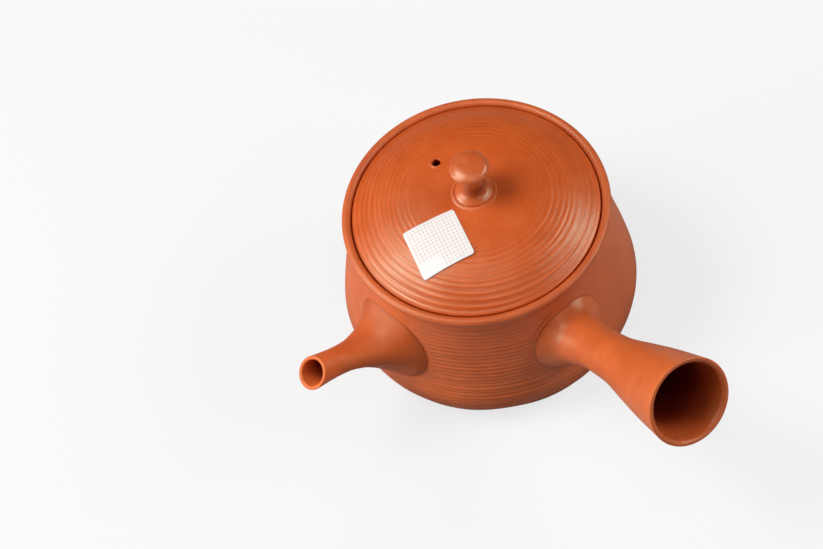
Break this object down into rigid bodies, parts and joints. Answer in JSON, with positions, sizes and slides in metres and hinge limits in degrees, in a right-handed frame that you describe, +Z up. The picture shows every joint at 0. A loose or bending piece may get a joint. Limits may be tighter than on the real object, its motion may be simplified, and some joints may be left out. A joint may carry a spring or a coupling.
{
  "type": "kyusu teapot",
  "caption": "Side-handled unglazed clay teapot with a thrown body, slender spout, inner sieve, flared hollow handle and lift-off domed lid.",
  "frame": {"origin": "centre of the flat base on the body's axis", "axes": "+Z up through the lid, +X along the handle, spout on the -Y side"},
  "size_m": [0.1797, 0.1425, 0.0897],
  "materials": {
    "body_clay": "satin unglazed red clay with fine throwing ridges",
    "spout_clay": "smooth satin unglazed red clay",
    "handle_clay": "smooth satin unglazed red clay",
    "sieve_clay": "unglazed red clay",
    "lid_clay": "satin unglazed red clay with turned rings",
    "knob_clay": "smooth satin unglazed red clay",
    "label_paper": "white paper printed with a fine red grid"
  },
  "bodies": {
    "pot": {"pot_body": "body_clay", "spout": "spout_clay", "handle": "handle_clay", "sieve": "sieve_clay"},
    "lid": {"lid": "lid_clay", "lid_knob": "knob_clay", "lid_label": "label_paper"}
  },
  "joints": [
    {"name": "lid_lift", "type": "slide", "parent": "pot", "child": "lid", "axis": [0, 0, 1], "range_m": [0, 0.07]}
  ]
}
